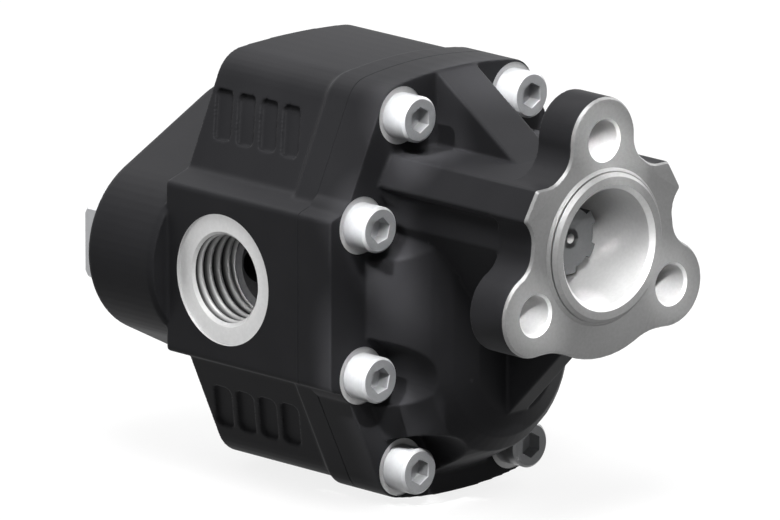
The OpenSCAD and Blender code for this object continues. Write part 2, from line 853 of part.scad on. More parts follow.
// A shaft seal: a case with a lip that runs on the shaft
module shaft_seal(y0) {
    y1 = y0 + seal_w;
    outer = seal_r - seat_gap;
    lip = journal_r + journal_gap;
    color([0.1, 0.1, 0.11])
        turned() polygon([
            [outer, y0], [outer, y1], [outer - 2, y1], [outer - 2, y0 + 2.2], [lip + 2.4, y0 + 2.2],
            [lip + 2, y1 - 1.2], [lip, y0 + 0.7 * seal_w], [lip + 1.2, y0]
        ]);
}

module seal_spacer() {
    color([0.6, 0.6, 0.62])
        difference() {
            rod(seal_r - seat_gap, spacer_y, inner_seal_y);
            rod(journal_r + 2, spacer_y - over, inner_seal_y + over);
        }
}

// An internal snap ring with two eyes for pliers
module snap_ring() {
    outer = seal_r + snap_groove - seat_gap;
    inner = seal_r - 3;
    color([0.35, 0.35, 0.37])
        along_y(snap_y, outer_seal_y)
            difference() {
                union() {
                    difference() {
                        circle(outer);
                        circle(inner);
                        polygon([[0, 0], 2 * outer * [-sin(12), -cos(12)], 2 * outer * [sin(12), -cos(12)]]);
                    }
                    for (side = [-1, 1])
                        rotate(-90 + side * 16) translate([inner + 0.6, 0]) circle(2.8);
                }
                for (side = [-1, 1])
                    rotate(-90 + side * 16) translate([inner + 0.4, 0]) circle(1.25);
            }
}

module cover_seal() {
    inner = chamber_r + ring_gap;
    color([0.1, 0.1, 0.11])
        along_y(joint_y - ring_t, joint_y)
            difference() {
                polygon(slot_points(inner + ring_w - seat_gap));
                polygon(slot_points(inner + seat_gap));
            }
}

module dowel(at) {
    color([0.7, 0.71, 0.73])
        rod(dowel_d / 2, joint_y - dowel_len / 2, joint_y + dowel_len / 2, at);
}

// A socket-head screw whose socket is turned by an angle
module cap_screw(at, turn) {
    bevel = 0.8;
    top_y = seat_y - head_h;
    color([0.78, 0.79, 0.8])
        difference() {
            union() {
                rod(head_d / 2, top_y + bevel, seat_y, at);
                taper(head_d / 2 - bevel, head_d / 2, top_y, top_y + bevel, at);
                rod(screw_d / 2, seat_y - over, seat_y + screw_len, at);
            }
            translate([at[0], 0, at[1]])
                along_y(top_y - over, top_y + socket_depth)
                    rotate(turn) circle(d = socket_af / cos(30), $fn = 6);
        }
}

// A hex plug in a rear port
module plug(side) {
    at = [side * rear_port_x, mid_z];
    seat = housing_y + plug_seal_t;
    head_r = plug_af / 2 / cos(30);
    color([0.75, 0.76, 0.78])
        difference() {
            union() {
                intersection() {
                    translate([at[0], 0, at[1]])
                        along_y(seat, seat + plug_head) rotate(30) circle(head_r, $fn = 6);
                    taper(head_r + 12, plug_af / 2, seat - 12 + plug_head / 2, seat + plug_head + 3.2, at);
                }
                rod(port_major_d / 2, housing_y - plug_len + over, seat + over, at);
            }
            rod(port_major_d / 2 - 5, housing_y - plug_len, housing_y, at);
        }
}

module plug_seal(side) {
    at = [side * rear_port_x, mid_z];
    color([0.3, 0.3, 0.32])
        difference() {
            rod(plug_seal_d / 2, housing_y, housing_y + plug_seal_t, at);
            rod(port_major_d / 2 + seat_gap, housing_y - over, housing_y + plug_seal_t + over, at);
        }
}

body();
front_cover();
drive_gear();
driven_gear();
thrust_plate(spigot_y + thrust_t, spigot_y);  // thrust_plate_front
thrust_plate(chamber_y - thrust_t, chamber_y);  // thrust_plate_rear
color([0.1, 0.1, 0.11]) plate_ring(spigot_y + backup_t, spigot_y + plate_seal_depth);  // plate_seal_front
color([0.1, 0.1, 0.11]) plate_ring(chamber_y - plate_seal_depth, chamber_y - backup_t);  // plate_seal_rear
color([0.9, 0.88, 0.8]) plate_ring(spigot_y, spigot_y + backup_t);  // backup_ring_front
color([0.9, 0.88, 0.8]) plate_ring(chamber_y - backup_t, chamber_y);  // backup_ring_rear
bush(front_bush_y, drive_at);  // drive_bush_front
bush(chamber_y, drive_at);  // drive_bush_rear
bush(front_bush_y, driven_at);  // driven_bush_front
bush(chamber_y, driven_at);  // driven_bush_rear
shaft_seal(inner_seal_y);  // shaft_seal_inner
shaft_seal(outer_seal_y);  // shaft_seal_outer
seal_spacer();
snap_ring();
cover_seal();
dowel(dowel_places[0]);  // dowel_upper
dowel(dowel_places[1]);  // dowel_lower
cap_screw(corner_screw(-1, 1), 90);  // screw_top_left
cap_screw(corner_screw(1, 1), 90);  // screw_top_right
cap_screw(side_screw(-1, 1), 75);  // screw_upper_left
cap_screw(side_screw(1, 1), 105);  // screw_upper_right
cap_screw(side_screw(-1, -1), 75);  // screw_lower_left
cap_screw(side_screw(1, -1), 105);  // screw_lower_right
cap_screw(corner_screw(-1, -1), 90);  // screw_bottom_left
cap_screw(corner_screw(1, -1), 90);  // screw_bottom_right
plug(-1);  // plug_left
plug(1);  // plug_right
plug_seal(-1);  // plug_seal_left
plug_seal(1);  // plug_seal_right
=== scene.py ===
# %% [markdown]
# # A reversible gear pump
# The pump is an iron casting in two halves: a body with the gear chamber and the side ports,
# and a front cover with a three-bolt flange. A splined shaft end waits inside the flange's bore.
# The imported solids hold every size, so this lesson is about surfaces. The two castings get
# the soft edges of sand casting and the sharp, bare places that a machine tool leaves in them.

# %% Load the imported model
import json
import math

import bmesh
import bpy
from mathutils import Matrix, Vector


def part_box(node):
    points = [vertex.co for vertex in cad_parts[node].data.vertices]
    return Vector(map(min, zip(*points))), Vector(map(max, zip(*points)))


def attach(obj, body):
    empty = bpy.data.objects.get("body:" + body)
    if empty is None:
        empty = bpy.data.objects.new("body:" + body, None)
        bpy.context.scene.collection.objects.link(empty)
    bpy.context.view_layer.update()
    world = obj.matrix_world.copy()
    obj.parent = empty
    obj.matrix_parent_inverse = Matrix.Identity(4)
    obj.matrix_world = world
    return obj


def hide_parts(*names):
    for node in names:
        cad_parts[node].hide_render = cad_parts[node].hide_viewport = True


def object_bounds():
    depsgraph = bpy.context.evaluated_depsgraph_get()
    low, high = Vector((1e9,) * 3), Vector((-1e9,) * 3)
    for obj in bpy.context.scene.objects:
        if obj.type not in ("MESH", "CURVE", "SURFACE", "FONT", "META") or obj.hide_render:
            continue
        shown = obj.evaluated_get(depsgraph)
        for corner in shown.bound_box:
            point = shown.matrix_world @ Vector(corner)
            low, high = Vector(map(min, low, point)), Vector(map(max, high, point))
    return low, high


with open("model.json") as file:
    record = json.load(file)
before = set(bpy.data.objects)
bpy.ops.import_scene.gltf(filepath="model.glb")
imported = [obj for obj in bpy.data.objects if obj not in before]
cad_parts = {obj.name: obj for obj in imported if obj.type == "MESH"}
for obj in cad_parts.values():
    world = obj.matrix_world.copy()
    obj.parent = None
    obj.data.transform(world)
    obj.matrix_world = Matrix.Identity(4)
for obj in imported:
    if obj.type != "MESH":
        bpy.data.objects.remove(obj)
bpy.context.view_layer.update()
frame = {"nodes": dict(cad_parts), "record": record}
nodes = frame["nodes"]
MM = 0.001

# %% [markdown]
# ## The camera
# The photograph is close to a parallel view: lines that run along the shaft stay parallel.
# A very long lens from far away gives the same look and still works as an ordinary camera.
# The viewing angle, the scale and the middle of the picture were measured on the photograph.

# %% Camera
AZIMUTH, ELEVATION = -43.65, 13.93
PIXELS_ACROSS, PIXELS_PER_MM = 780, 2.922
PICTURE_WIDTH = PIXELS_ACROSS / PIXELS_PER_MM * MM
LOOK_AT = Vector((-9.35, 95.0, -20.0)) * MM
FAR = 5.2

turn, rise = math.radians(AZIMUTH), math.radians(ELEVATION)
towards_camera = Vector((
    math.sin(turn) * math.cos(rise),
    -math.cos(turn) * math.cos(rise),
    math.sin(rise),
))
camera = bpy.data.objects.new("camera", bpy.data.cameras.new("camera"))
bpy.context.scene.collection.objects.link(camera)
bpy.context.scene.camera = camera
camera.location = LOOK_AT + towards_camera * FAR
camera.rotation_mode = "QUATERNION"
camera.rotation_quaternion = (-towards_camera).to_track_quat("-Z", "Y")
camera.data.sensor_width = 36
camera.data.lens = 36 * FAR / PICTURE_WIDTH
camera.data.clip_start, camera.data.clip_end = 1, 50
print("lens:", round(camera.data.lens), "mm")

# %% [markdown]
# ## Colours and nodes
# Colours are written as the hex values that a paint chart or a picture editor shows. Blender
# calculates in linear light, so one function turns them. Another adds a shader node, sets it
# up and links its inputs: a value that is a socket becomes a link, anything else a setting.

# %% Colour and node helpers
def colour(code):
    """Turns an sRGB hex colour into linear light."""
    parts = [int(code[i:i + 2], 16) / 255 for i in (1, 3, 5)]
    linear = [p / 12.92 if p <= 0.04045 else ((p + 0.055) / 1.055) ** 2.4 for p in parts]
    return (*linear, 1.0)


def add(tree, kind, settings=None, **inputs):
    """Adds a node; its inputs are values, or sockets of other nodes to link."""
    made = tree.nodes.new("ShaderNode" + kind)
    for key, value in (settings or {}).items():
        setattr(made, key, value)
    for key, value in inputs.items():
        wanted = int(key[1:]) if key[0] == "_" else key.replace("_", " ")
        socket = made.inputs[wanted]
        if isinstance(value, bpy.types.NodeSocket):
            tree.links.new(value, socket)
        else:
            socket.default_value = value
    return made


def new_material(name):
    """An empty material with its output, its shader and the place in the model in metres."""
    material = bpy.data.materials.new(name)
    material.use_nodes = True
    tree = material.node_tree
    tree.nodes.clear()
    shader = add(tree, "BsdfPrincipled")
    output = add(tree, "OutputMaterial")
    tree.links.new(shader.outputs[0], output.inputs["Surface"])
    place = add(tree, "TexCoord").outputs["Object"]
    return material, tree, shader, place


print("mid grey in linear light:", round(colour("#808080")[0], 3))

# %% [markdown]
# ## Black paint on cast iron
# The raw castings are shot-blasted and sprayed with a thin black enamel. The sand's grain,
# about 0.3 mm, shows through it as a fine pebbling, drawn here at 0.9 mm so that it can be
# seen at this distance. The film is satin: roughness about 0.5, with slightly duller clouds
# a few centimetres across, where the spray was thinner. Wet paint draws back from a ridge,
# so ridges are a shade lighter, and that lighter colour is also a painted highlight along the
# edges. Corners are painted a shade darker, which is painted shade. The pigment stands proud
# of such a thin film and breaks the mirror of its surface, so the specular level is well under that
# of clear gloss.

# %% Black enamel
def black_enamel():
    material, tree, shader, place = new_material("black_enamel_on_cast_iron")
    clouds = add(tree, "TexNoise", Vector=place, Scale=1 / (35 * MM), Detail=3).outputs["Fac"]
    grain = add(tree, "TexNoise", Vector=place, Scale=1 / (0.9 * MM), Detail=4).outputs["Fac"]
    ridges = add(tree, "NewGeometry").outputs["Pointiness"]
    sprayed = add(tree, "MapRange", Value=clouds, From_Min=0.3, From_Max=0.7)
    # Ridges get a lighter colour, partly thinner paint and partly a painted highlight; corners get
    # a darker one, a painted shade.
    thin_paint_and_painted_highlight = add(tree, "MapRange", Value=ridges, From_Min=0.52, From_Max=0.6, To_Max=0.75)
    painted_corner_shade = add(tree, "MapRange", Value=ridges, From_Min=0.48, From_Max=0.42, To_Max=0.8)
    paint = colour("#28282a")
    for amount, coat in ((sprayed, "#2e2e30"), (thin_paint_and_painted_highlight, "#3a3a3c"), (painted_corner_shade, "#111112")):
        paint = add(
            tree, "Mix", {"data_type": "RGBA"},
            _0=amount.outputs["Result"], _6=paint, _7=colour(coat),
        ).outputs[2]
    tree.links.new(paint, shader.inputs["Base Color"])
    satin = add(tree, "MapRange", Value=clouds, To_Min=0.42, To_Max=0.54)
    tree.links.new(satin.outputs["Result"], shader.inputs["Roughness"])
    bump = add(tree, "Bump", Strength=0.35, Distance=0.05 * MM, Height=grain)
    tree.links.new(bump.outputs[0], shader.inputs["Normal"])
    shader.inputs["IOR"].default_value = 1.5
    shader.inputs["Specular IOR Level"].default_value = 0.04
    return material


ENAMEL = black_enamel()
print("paint:", ENAMEL.name)

# %% [markdown]
# ## Machined iron
# Where the castings meet something else the skin is cut away. Grey iron is a dull silver
# under it, flecked by flakes of graphite about 0.1 mm long, drawn at 1.2 mm so that they
# show. A facing tool leaves rings at its feed, about 0.2 mm apart, drawn at 0.7 mm for the
# same reason, and a boring tool leaves the same rings up the wall of a bore.

# %% Turned and milled iron
RING_WAVELENGTH = 0.314  # of Blender's ring pattern at scale 1, in metres


def cut_iron(name, dark, light, axis, centre, roughness, metallic=0.4, ring=0.7):
    material, tree, shader, place = new_material(name)
    about = add(
        tree, "Mapping", {"vector_type": "POINT"}, Vector=place, Location=[-v * MM for v in centre],
    )
    waves = add(
        tree, "TexWave", {"wave_type": "RINGS", "rings_direction": axis},
        Vector=about.outputs[0], Scale=RING_WAVELENGTH / (ring * MM), Distortion=0.6, Detail=2,
    ).outputs["Fac"]
    flecks = add(tree, "TexNoise", Vector=place, Scale=1 / (1.2 * MM), Detail=5).outputs["Fac"]
    amount = add(tree, "MapRange", Value=flecks, From_Min=0.35, From_Max=0.65).outputs["Result"]
    iron = add(
        tree, "Mix", {"data_type": "RGBA"}, _0=amount, _6=colour(dark), _7=colour(light),
    ).outputs[2]
    tree.links.new(iron, shader.inputs["Base Color"])
    dull = add(tree, "MapRange", Value=flecks, To_Min=roughness - 0.05, To_Max=roughness + 0.06)
    tree.links.new(dull.outputs["Result"], shader.inputs["Roughness"])
    bump = add(tree, "Bump", Strength=0.25, Distance=0.02 * MM, Height=waves)
    tree.links.new(bump.outputs[0], shader.inputs["Normal"])
    shader.inputs["Metallic"].default_value = metallic
    return material


PORT_Y, MIDDLE = 125.5, -24.0
SHAFT, PORT = (0, 0, 0), (0, PORT_Y, MIDDLE)
# These four are one machined grey iron in four tones: the bores, holes, seats, mouths and port
# rings are painted lighter as painted light, and the chamber and passages darker as painted shade.
FACED = cut_iron("faced_flange_iron", "#808080", "#868686", "Y", SHAFT, 0.45)
IRON_WITH_PAINTED_LIGHT = cut_iron("cut_iron_with_painted_light", "#c4c4c4", "#cacaca", "Y", SHAFT, 0.4, 0.15)
PORT_FACED = cut_iron("spot_faced_iron_with_painted_light", "#cccccc", "#d2d2d2", "X", PORT, 0.42, 0.6)
SHADED = cut_iron("chamber_iron_with_painted_shade", "#626264", "#6c6c6e", "Y", SHAFT, 0.5, 0.5)
print("cut iron:", [m.name for m in (FACED, IRON_WITH_PAINTED_LIGHT, PORT_FACED, SHADED)])

# %% [markdown]
# The thread's valleys are painted dark and its crests light, as painted shade in the valleys.
# So the colour follows the distance from the port's axis.

# %% Tapped iron
THREAD_PITCH, THREAD_MINOR, THREAD_MAJOR = 4.2, 15.1, 16.6


def tapped_iron(name, crest, valley):
    material, tree, shader, place = new_material(name)
    parts = add(tree, "SeparateXYZ", _0=place)
    across = add(tree, "CombineXYZ", _1=parts.outputs["Y"], _2=parts.outputs["Z"])
    centre = add(tree, "CombineXYZ", _1=PORT_Y * MM, _2=MIDDLE * MM)
    away = add(
        tree, "VectorMath", {"operation": "DISTANCE"}, _0=across.outputs[0], _1=centre.outputs[0],
    )
    depth = (THREAD_MAJOR - THREAD_MINOR) * MM
    painted_valley_shade = add(
        tree, "MapRange", Value=away.outputs["Value"],
        From_Min=THREAD_MINOR * MM + 0.1 * depth, From_Max=THREAD_MINOR * MM + 0.75 * depth,
    ).outputs["Result"]
    iron = add(
        tree, "Mix", {"data_type": "RGBA"}, _0=painted_valley_shade, _6=colour(crest), _7=colour(valley),
    ).outputs[2]
    tree.links.new(iron, shader.inputs["Base Color"])
    shader.inputs["Roughness"].default_value = 0.45
    shader.inputs["Metallic"].default_value = 0.2
    return material


TAPPED = tapped_iron("tapped_iron_with_painted_valley_shade", "#c4c4c4", "#1c1c1c")
print("thread's depth in mm:", round(THREAD_MAJOR - THREAD_MINOR, 2))

# %% [markdown]
# ## The other metals
# The screws and plugs are steel under a few microns of bright zinc, which is paler and a
# little blue. The gears and the shaft are ground, case-hardened steel, so their ends are
# darker and carry fine scratches. The bushes and thrust plates are bronze. Clean bronze and
# spring steel are full metals. Plating and ground steel wear a film of oxide and oil, which
# throws back part of the light as a matt skin does, so their metallic value is under one.
# The real grain of such surfaces is a few hundredths of a millimetre, too fine to show, so
# it is drawn 0.7 to 1.6 mm wide and very shallow.

# %% Plated, ground and cast metals
def metal(name, dark, light, roughness, grain_mm, stretch=(1, 1, 1), depth=0.01, metallic=1.0):
    material, tree, shader, place = new_material(name)
    drawn = add(tree, "Mapping", {"vector_type": "POINT"}, Vector=place, Scale=stretch).outputs[0]
    grain = add(tree, "TexNoise", Vector=drawn, Scale=1 / (grain_mm * MM), Detail=4).outputs["Fac"]
    amount = add(tree, "MapRange", Value=grain, From_Min=0.3, From_Max=0.7).outputs["Result"]
    tone = add(
        tree, "Mix", {"data_type": "RGBA"}, _0=amount, _6=colour(dark), _7=colour(light),
    ).outputs[2]
    tree.links.new(tone, shader.inputs["Base Color"])
    dull = add(tree, "MapRange", Value=grain, To_Min=roughness - 0.04, To_Max=roughness + 0.06)
    tree.links.new(dull.outputs["Result"], shader.inputs["Roughness"])
    bump = add(tree, "Bump", Strength=0.2, Distance=depth * MM, Height=grain)
    tree.links.new(bump.outputs[0], shader.inputs["Normal"])
    shader.inputs["Metallic"].default_value = metallic
    return material


ZINC = metal("bright_zinc_on_steel", "#9a9b9d", "#a0a1a3", 0.3, 1.6, depth=0.001, metallic=0.12)
HEAD_FRONT_PAINTED_SHADE = metal(
    "zinc_on_a_head_with_painted_shade", "#747577", "#7a7b7d", 0.4, 1.6, depth=0.001, metallic=0.12,
)
SOCKET = metal(
    "dull_zinc_in_a_socket", "#98999b", "#9e9fa1", 0.5, 1.2, depth=0.004, metallic=0.12,
)
GROUND = metal(
    "ground_case_hardened_steel", "#5e5f60", "#646566", 0.58, 0.8, (1, 0.08, 1),
    depth=0.003, metallic=0.6,
)
PLUG_ZINC = metal(
    "weathered_zinc_on_steel", "#b2b3b5", "#b9babc", 0.4, 1.6, depth=0.002, metallic=0.5,
)
PLATE_BRONZE = metal("lapped_bronze", "#b08d4f", "#c4a262", 0.3, 1.0)
BUSH_BRONZE = metal("sintered_bronze", "#8f7145", "#a88a5a", 0.42, 0.7, depth=0.02)
SPRING = metal("phosphated_spring_steel", "#3c3c3e", "#4a4a4d", 0.45, 0.9)
print("metals:", [m.name for m in bpy.data.materials if "zinc" in m.name or "bronze" in m.name])

# %% [markdown]
# ## Rubber and PTFE
# The seals are black nitrile rubber with a matt, slightly dusty skin. The backup rings
# behind them are PTFE, a waxy off-white plastic. The mould's spark-eroded grain, about
# 0.05 mm, is drawn at 0.8 to 1 mm.

# %% Rubber and PTFE
def soft_polymer(name, dark, light, roughness, grain_mm, ior):
    material, tree, shader, place = new_material(name)
    grain = add(tree, "TexNoise", Vector=place, Scale=1 / (grain_mm * MM), Detail=3).outputs["Fac"]
    amount = add(tree, "MapRange", Value=grain, From_Min=0.3, From_Max=0.7).outputs["Result"]
    tone = add(
        tree, "Mix", {"data_type": "RGBA"}, _0=amount, _6=colour(dark), _7=colour(light),
    ).outputs[2]
    tree.links.new(tone, shader.inputs["Base Color"])
    bump = add(tree, "Bump", Strength=0.2, Distance=0.02 * MM, Height=grain)
    tree.links.new(bump.outputs[0], shader.inputs["Normal"])
    shader.inputs["Roughness"].default_value = roughness
    shader.inputs["IOR"].default_value = ior
    return material


NITRILE = soft_polymer("nitrile_rubber", "#1a1a1b", "#242425", 0.7, 0.8, 1.52)
PTFE = soft_polymer("ptfe", "#ddd9cc", "#e8e5da", 0.55, 1.0, 1.38)
print("soft:", NITRILE.name, PTFE.name)

# %% [markdown]
# ## Finishes for the solids that stay
# Most solids already have their true shape, so they only change their finish. The record
# says which slot each one belongs to, and each slot has one real material.

# %% Finishes by slot
finish = {
    "casting": ENAMEL, "gear_steel": GROUND,
    "plate_bronze": PLATE_BRONZE, "bush_bronze": BUSH_BRONZE,
    "seal_rubber": NITRILE, "backup_plastic": PTFE,
    "spring_steel": SPRING, "zinc_steel": ZINC,
}
slot_of = {part["node"]: part["material_slot"] for part in frame["record"]["subparts"]}
for name, solid in nodes.items():
    is_plug = name in ("plug_left", "plug_right")
    for holder in solid.material_slots:
        holder.material = PLUG_ZINC if is_plug else finish[slot_of[name]]
print("finishes:", {slot: sum(s == slot for s in slot_of.values()) for slot in finish})

# %% [markdown]
# ## Tools for a casting
# A real casting is made in two steps: a soft-edged blank comes out of the sand, and then
# machine tools cut sharp faces and holes into it. The same order works here. The blank is
# the solid with its machined holes filled, rebuilt in small cubes and smoothed. The cutters
# are solids of revolution, listed as radius and distance along an axis, and each cutter
# passes its own material on to the faces that it cuts.

# %% Solids of revolution
def put(name, mesh, material=None):
    made = bpy.data.objects.new(name, mesh)
    bpy.context.scene.collection.objects.link(made)
    if material:
        mesh.materials.append(material)
    return made


def from_grid(verts, faces):
    mesh = bpy.data.meshes.new("turned")
    mesh.from_pydata(verts, [], faces)
    work = bmesh.new()
    work.from_mesh(mesh)
    bmesh.ops.recalc_face_normals(work, faces=work.faces)
    work.to_mesh(mesh)
    work.free()
    return mesh


def turned(profile, at=(0, 0), along="Y", steps=96):
    """A closed solid of revolution; profile is (radius, distance) in mm, from axis to axis."""
    verts, rings = [], []
    for radius, distance in profile:
        count = 1 if radius == 0 else steps
        rings.append(range(len(verts), len(verts) + count))
        for i in range(count):
            angle = 2 * math.pi * i / steps
            a, b = at[0] + radius * math.cos(angle), at[1] + radius * math.sin(angle)
            point = (a, distance, b) if along == "Y" else (distance, a, b)
            verts.append([v * MM for v in point])
    faces = []
    for low, high in zip(rings, rings[1:]):
        for i in range(steps):
            j = (i + 1) % steps
            a, b, c, d = i % len(low), j % len(low), j % len(high), i % len(high)
            unique = list(dict.fromkeys([low[a], low[b], high[c], high[d]]))
            if len(unique) > 2:
                faces.append(unique)
    return from_grid(verts, faces)


def rod(radius, start, end, at=(0, 0), along="Y", steps=96):
    """A plain round rod, from start to end along its axis."""
    return turned([(0, start), (radius, start), (radius, end), (0, end)], at, along, steps)


print("a rod's faces:", len(rod(1, 0, 1).polygons))

# %% [markdown]
# A modifier keeps a shape open to change, and a mesh ends that. Cuts are made with the
# boolean's solver for watertight solids, one at a time, and each is settled into the mesh,
# so that the next tool meets plain faces.

# %% Joining and cutting
def joined(meshes):
    """Puts separate solids that don't touch into one mesh."""
    work = bmesh.new()
    for mesh in meshes:
        work.from_mesh(mesh)
    result = bpy.data.meshes.new("joined")
    work.to_mesh(result)
    work.free()
    return result


def settle(thing):
    """Turns the modifiers of an object into its mesh."""
    graph = bpy.context.evaluated_depsgraph_get()
    mesh = bpy.data.meshes.new_from_object(thing.evaluated_get(graph))
    thing.modifiers.clear()
    thing.data = mesh


def combine(thing, mesh, material, operation="DIFFERENCE"):
    """Cuts a solid from a thing or joins it to it, and keeps the solid's own material."""
    tool = put("tool", mesh, material)
    change = thing.modifiers.new("change", "BOOLEAN")
    change.operation, change.solver, change.object = operation, "MANIFOLD", tool
    change.material_mode = "TRANSFER"
    settle(thing)
    bpy.data.objects.remove(tool)


print("tools:", joined.__name__, settle.__name__, combine.__name__)

# %% [markdown]
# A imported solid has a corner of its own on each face, with a stored normal, so its mesh is
# open along every edge. A boolean and a remesh both need it closed. The copy is welded, and
# the normals go, because they would no longer fit. A corner counts as lying on a face when it
# is nearer to it than a small tolerance.

# %% Watertight copies
WELD, ON_FACE = 0.001, 0.01


def closed_copy(node):
    """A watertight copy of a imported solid."""
    work = bmesh.new()
    work.from_mesh(nodes[node].data)
    bmesh.ops.remove_doubles(work, verts=work.verts, dist=WELD * MM)
    open_edges = sum(not e.is_manifold for e in work.edges)
    mesh = bpy.data.meshes.new(node + "_blank")
    work.to_mesh(mesh)
    work.free()
    if "custom_normal" in mesh.attributes:
        mesh.attributes.remove(mesh.attributes["custom_normal"])
    print(node, "open edges:", open_edges, "triangles:", len(mesh.polygons))
    return mesh


def lengthen(mesh, station, by):
    """Moves a face that lies across the shaft, so that it can be cut clean later."""
    for corner in mesh.vertices:
        if abs(corner.co.y - station * MM) < ON_FACE * MM:
            corner.co.y += by * MM


print("welded within", WELD, "mm")

# %% [markdown]
# A facing cut leaves a flat face, and a file or a chamfer tool breaks its edge. Two parallel
# cuts through the mesh make the two rims of that chamfer, and the outer rim is then drawn
# inwards. Where the edge was broken after painting, the chamfer is bare too.

# %% Faces cut square
def face_off(thing, station, keep, material, chamfer, bare_edge):
    """Cuts a thing square and breaks the edge; keep is -1 or +1 for the side that stays."""
    work = bmesh.new()
    work.from_mesh(thing.data)
    centre, normal = (0, station * MM, 0), (0, -keep, 0)
    bmesh.ops.bisect_plane(
        work, geom=work.verts[:] + work.edges[:] + work.faces[:],
        plane_co=(0, (station + keep * chamfer) * MM, 0), plane_no=normal,
    )
    cut = bmesh.ops.bisect_plane(
        work, geom=work.verts[:] + work.edges[:] + work.faces[:],
        plane_co=centre, plane_no=normal, clear_outer=True,
    )
    rim = [e for e in cut["geom_cut"] if isinstance(e, bmesh.types.BMEdge)]
    moves = {}
    for corner in {v for e in rim for v in e.verts}:
        inward = Vector((corner.normal.x, 0, corner.normal.z))
        if inward.length:
            moves[corner] = inward.normalized() * chamfer * MM
    for corner, move in moves.items():
        corner.co -= move
    filled = bmesh.ops.holes_fill(work, edges=rim, sides=0)["faces"]
    thing.data.materials.append(material)
    reach = chamfer if bare_edge else 0
    for face in work.faces:
        if all((corner.co.y / MM - station) * keep <= reach + ON_FACE for corner in face.verts):
            face.material_index = len(thing.data.materials) - 1
    bmesh.ops.triangulate(work, faces=filled)
    work.to_mesh(thing.data)
    work.free()
    print(thing.name, "faced at", station, "mm, rim of", len(rim), "edges")


# %% [markdown]
# Sand can't hold a sharp edge, and liquid iron pulls itself round. A voxel remesh forgets
# every sharp edge at the size of its cubes, and a little smoothing takes their steps away.

# %% Casting a blank
FINE = 0.55


def cast(node, mesh, rounding=2):
    """Rebuilds a shape in small cubes and smooths it, as sand does with a pattern's edges."""
    blank = put(node + "_casting", mesh)
    blank.data.materials.clear()
    blank.data.materials.append(ENAMEL)
    cubes = blank.modifiers.new("sand", "REMESH")
    cubes.mode, cubes.voxel_size = "VOXEL", FINE * MM
    soften = blank.modifiers.new("soften", "SMOOTH")
    soften.factor, soften.iterations = 0.5, rounding
    settle(blank)
    print(node, "blank:", len(blank.data.polygons), "faces")
    return blank


print("cubes of", FINE, "mm")

# %% [markdown]
# ## The front cover
# The cover's flange is faced and bored in one clamping on a lathe, so its face, the pilot
# and the seal bore share their centre. Behind it the screws' seats are spot-faced. All
# the rest stays as cast, under the paint. Sizes are in millimetres, radii for round things,
# and stations are distances from the mounting face. Fillers and cutters reach a little
# beyond the faces that they meet, so that no two surfaces coincide.

# %% Sizes of the cover
DRIVE, DRIVEN = (0.0, 0.0), (0.0, -48.0)
SEAT, PLATE, JOINT, EXTRA = 72.3, 71.9, 88.1, 3
PILOT, PILOT_HEIGHT = 25.0, 2.7
SEAL_BORE, SEAL_STOP, SHAFT_HOLE = 20.0, 68.45, 14
RING_GROOVE, GROOVE_DEPTH = (50.6, 52.45), 1.2
BOLT_CIRCLE, BOLT_HOLE, SEAT_RADIUS, SCREW_HOLE = 37, 6.75, 10, 5.5
LOBES = [
    (BOLT_CIRCLE * math.cos(math.radians(a)), BOLT_CIRCLE * math.sin(math.radians(a)))
    for a in (90, 210, 330)
]
SCREWS = [
    (side * x, MIDDLE + half * z)
    for side in (-1, 1) for half in (-1, 1) for x, z in ((26.4, 61.7), (45.0, 26.3))
]
print("bolt holes:", len(LOBES), "screws:", len(SCREWS))

# %% Casting the cover
cover_mesh = closed_copy("front_cover")
lengthen(cover_mesh, JOINT, EXTRA)
lengthen(cover_mesh, 0, -EXTRA)
cover = put("cover_pattern", cover_mesh)
PAST_JOINT = 90
fillers = [
    rod(28.2, -EXTRA, 4),
    *[rod(8.2, -EXTRA, 16.9, at) for at in LOBES],
    *[rod(10.3, PLATE, PAST_JOINT, at) for at in SCREWS],
]
bore_filler = turned([
    (0, -EXTRA), (21.9, -EXTRA), (21.9, 66), (15.6, 66), (15.6, PAST_JOINT), (0, PAST_JOINT),
])
for filler in (joined(fillers), bore_filler, rod(15.6, 60, PAST_JOINT, DRIVEN)):
    combine(cover, filler, None, "UNION")
cover_casting = cast("front_cover", cover.data)
bpy.data.objects.remove(cover)

# %% Machining the cover
face_off(cover_casting, 0, 1, FACED, 1.2, bare_edge=True)  # the mounting face
face_off(cover_casting, JOINT, -1, FACED, 0.25, bare_edge=False)
pilot_ring = turned([
    (0, 1), (PILOT + 2.3, 1), (PILOT + 2.3, 0), (PILOT + 1.3, -1), (PILOT + 0.9, -1),
    (PILOT + 0.9, 0.2), (PILOT + 0.5, 0.2), (PILOT + 0.5, -1.4), (PILOT + 0.9, -1.4),
    (PILOT - 0.4, -PILOT_HEIGHT), (0, -PILOT_HEIGHT),
], steps=160)
combine(cover_casting, pilot_ring, FACED, "UNION")
bore = turned([
    (0, -4), (SEAL_BORE + 3.2, -4),
    (SEAL_BORE + 1.9, -PILOT_HEIGHT), (SEAL_BORE + 0.3, -PILOT_HEIGHT + 1.6),
    (SEAL_BORE, RING_GROOVE[0]), (SEAL_BORE + GROOVE_DEPTH, RING_GROOVE[0]),
    (SEAL_BORE + GROOVE_DEPTH, RING_GROOVE[1]), (SEAL_BORE, RING_GROOVE[1]),
    (SEAL_BORE, SEAL_STOP), (SHAFT_HOLE, SEAL_STOP), (SHAFT_HOLE, 95), (0, 95),
], steps=160)
holes = [
    turned([(0, -1), (8.6, -1), (BOLT_HOLE, 0.9), (BOLT_HOLE, 18), (0, 18)], at, steps=64)
    for at in LOBES
]
